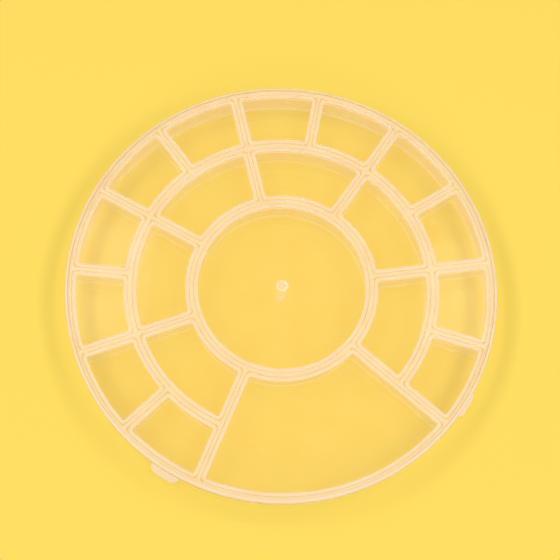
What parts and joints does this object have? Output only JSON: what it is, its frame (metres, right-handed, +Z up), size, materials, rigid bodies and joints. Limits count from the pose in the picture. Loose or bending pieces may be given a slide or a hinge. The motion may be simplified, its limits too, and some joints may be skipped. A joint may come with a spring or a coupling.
{
  "type": "round parts organizer box",
  "caption": "Shallow round compartment box in clear moulded plastic, with rows of cells round a middle well, a large front bay and a flat lift-off lid.",
  "frame": {"origin": "centre of the underside, where the box stands", "axes": "+Z up out of the lid, -Y through the middle of the large front bay, +X to its right"},
  "size_m": [0.129, 0.129, 0.0129],
  "materials": {
    "base_plastic": "natural polypropylene, clear on the floor and milky along the walls, moulded gloss",
    "lid_plastic": "natural polypropylene, nearly clear, moulded gloss"
  },
  "bodies": {
    "base": {"base_floor": "base_plastic", "outer_wall": "base_plastic", "middle_ring": "base_plastic", "inner_ring": "base_plastic", "bay_wall_left": "base_plastic", "bay_wall_right": "base_plastic", "inner_divider_1": "base_plastic", "inner_divider_2": "base_plastic", "inner_divider_3": "base_plastic", "inner_divider_4": "base_plastic", "inner_divider_5": "base_plastic", "outer_divider_1": "base_plastic", "outer_divider_2": "base_plastic", "outer_divider_3": "base_plastic", "outer_divider_4": "base_plastic", "outer_divider_5": "base_plastic", "outer_divider_6": "base_plastic", "outer_divider_7": "base_plastic", "outer_divider_8": "base_plastic", "outer_divider_9": "base_plastic", "outer_divider_10": "base_plastic", "outer_divider_11": "base_plastic", "finger_tab_1": "base_plastic", "finger_tab_2": "base_plastic", "finger_tab_3": "base_plastic", "finger_tab_4": "base_plastic"},
    "lid": {"lid_panel": "lid_plastic", "lid_skirt": "lid_plastic", "lid_rib_outer_1": "lid_plastic", "lid_rib_outer_2": "lid_plastic", "lid_rib_outer_3": "lid_plastic", "lid_rib_outer_4": "lid_plastic", "lid_rib_outer_5": "lid_plastic", "lid_rib_outer_6": "lid_plastic", "lid_rib_outer_7": "lid_plastic", "lid_rib_outer_8": "lid_plastic", "lid_rib_outer_9": "lid_plastic", "lid_rib_outer_10": "lid_plastic", "lid_rib_outer_11": "lid_plastic", "lid_rib_outer_12": "lid_plastic", "lid_rib_middle_1": "lid_plastic", "lid_rib_middle_2": "lid_plastic", "lid_rib_middle_3": "lid_plastic", "lid_rib_middle_4": "lid_plastic", "lid_rib_middle_5": "lid_plastic", "lid_rib_middle_6": "lid_plastic", "lid_rib_bay": "lid_plastic", "lid_rib_well": "lid_plastic"}
  },
  "joints": [
    {"name": "lid_lift", "type": "slide", "parent": "base", "child": "lid", "axis": [0, 0, 1], "range_m": [0, 0.04]}
  ]
}
